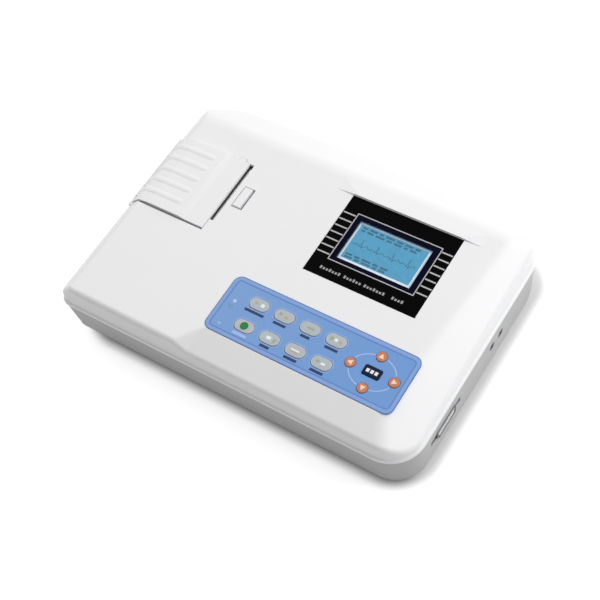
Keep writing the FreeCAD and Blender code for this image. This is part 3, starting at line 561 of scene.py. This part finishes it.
# Studio
def away_from_case(nodes, links):
    """Backdrop glow that grows with the distance from the foot of the case."""
    coords = nodes.new("ShaderNodeTexCoord")
    steps = [
        ("SUBTRACT", FOOT_CENTRE + (0,)),
        ("ABSOLUTE", None),
        ("SUBTRACT", FOOT_HALF + (0,)),
        ("MAXIMUM", (0, 0, 0)),
        ("LENGTH", None),
    ]
    out = coords.outputs["Object"]
    for operation, operand in steps:
        node = nodes.new("ShaderNodeVectorMath")
        node.operation = operation
        links.new(out, node.inputs[0])
        if operand:
            node.inputs[1].default_value = operand
        out = node.outputs["Value" if operation == "LENGTH" else "Vector"]
    ramp = nodes.new("ShaderNodeMapRange")
    ramp.interpolation_type = "SMOOTHSTEP"
    ramp.inputs["From Min"].default_value = FOOT_CORNER
    ramp.inputs["From Max"].default_value = FOOT_CORNER + GLOW_REACH
    ramp.inputs["To Max"].default_value = GLOW
    links.new(out, ramp.inputs["Value"])
    return ramp.outputs["Result"]


def make_floor():
    mesh = bpy.data.meshes.new("floor")
    half, z = FLOOR_HALF, FLOOR_Z
    corners = [(-half, -half, z), (half, -half, z), (half, half, z), (-half, half, z)]
    mesh.from_pydata(corners, [], [(0, 1, 2, 3)])
    floor = bpy.data.objects.new("floor", mesh)
    bpy.context.scene.collection.objects.link(floor)
    mat, nodes, links, shader = new_material("floor_white")
    shader.inputs["Base Color"].default_value = FLOOR_COLOR
    shader.inputs["Roughness"].default_value = 0.9
    shader.inputs["Specular IOR Level"].default_value = 0.0
    shader.inputs["Emission Color"].default_value = (1, 1, 1, 1)
    path = nodes.new("ShaderNodeLightPath")
    seen = nodes.new("ShaderNodeMath")
    seen.operation = "MAXIMUM"
    links.new(path.outputs["Is Camera Ray"], seen.inputs[0])
    links.new(path.outputs["Is Glossy Ray"], seen.inputs[1])
    lift = nodes.new("ShaderNodeMath")
    lift.operation = "MULTIPLY"
    links.new(away_from_case(nodes, links), lift.inputs[0])
    links.new(seen.outputs["Value"], lift.inputs[1])
    links.new(lift.outputs["Value"], shader.inputs["Emission Strength"])
    mesh.materials.append(mat)


def make_world(front, back):
    """Soft light from all round, dimmer in front of the case; the camera sees plain white."""
    world = bpy.data.worlds.new("studio")
    bpy.context.scene.world = world
    world.use_nodes = True
    nodes, links = world.node_tree.nodes, world.node_tree.links
    coords = nodes.new("ShaderNodeTexCoord")
    split = nodes.new("ShaderNodeSeparateXYZ")
    links.new(coords.outputs["Generated"], split.inputs["Vector"])
    level = nodes.new("ShaderNodeMapRange")
    level.inputs["From Min"].default_value = -1.0
    level.inputs["To Min"].default_value = front
    level.inputs["To Max"].default_value = back
    links.new(split.outputs["Y"], level.inputs["Value"])
    strength = nodes.new("ShaderNodeMapRange")
    links.new(level.outputs["Result"], strength.inputs["To Min"])
    strength.inputs["To Max"].default_value = 1.0
    path = nodes.new("ShaderNodeLightPath")
    links.new(path.outputs["Is Camera Ray"], strength.inputs["Value"])
    background = nodes["Background"]
    background.inputs["Color"].default_value = (1, 1, 1, 1)
    links.new(strength.outputs["Result"], background.inputs["Strength"])


def make_lamp(name, at, size, watts):
    data = bpy.data.lights.new(name, "AREA")
    data.size = size
    data.energy = watts
    lamp = bpy.data.objects.new(name, data)
    lamp.location = at
    lamp.rotation_euler = (-Vector(at)).to_track_quat("-Z", "Y").to_euler()
    bpy.context.scene.collection.objects.link(lamp)


def make_camera():
    az, el, roll = CAMERA_AZIMUTH, CAMERA_ELEVATION, CAMERA_ROLL
    forward = Vector((-math.sin(az) * math.cos(el), math.cos(az) * math.cos(el), -math.sin(el)))
    level = Vector((math.cos(az), math.sin(az), 0))
    down = forward.cross(level)
    right = level * math.cos(roll) + down * math.sin(roll)
    up = level * math.sin(roll) - down * math.cos(roll)
    data = bpy.data.cameras.new("camera")
    data.lens = CAMERA_LENS
    data.sensor_width = CAMERA_SENSOR
    camera = bpy.data.objects.new("camera", data)
    turn = Matrix((right, up, -forward)).transposed().to_4x4()
    camera.matrix_world = Matrix.Translation(CAMERA_AT) @ turn
    bpy.context.scene.collection.objects.link(camera)
    bpy.context.scene.camera = camera


make_floor()
make_world(*WORLD_LIGHT)
make_lamp("key", KEY_AT, KEY_LAMP_SIZE, KEY_POWER)
make_lamp("fill", FILL_AT, FILL_SIZE, FILL_POWER)
make_camera()
bpy.context.scene.view_settings.view_transform = "Standard"
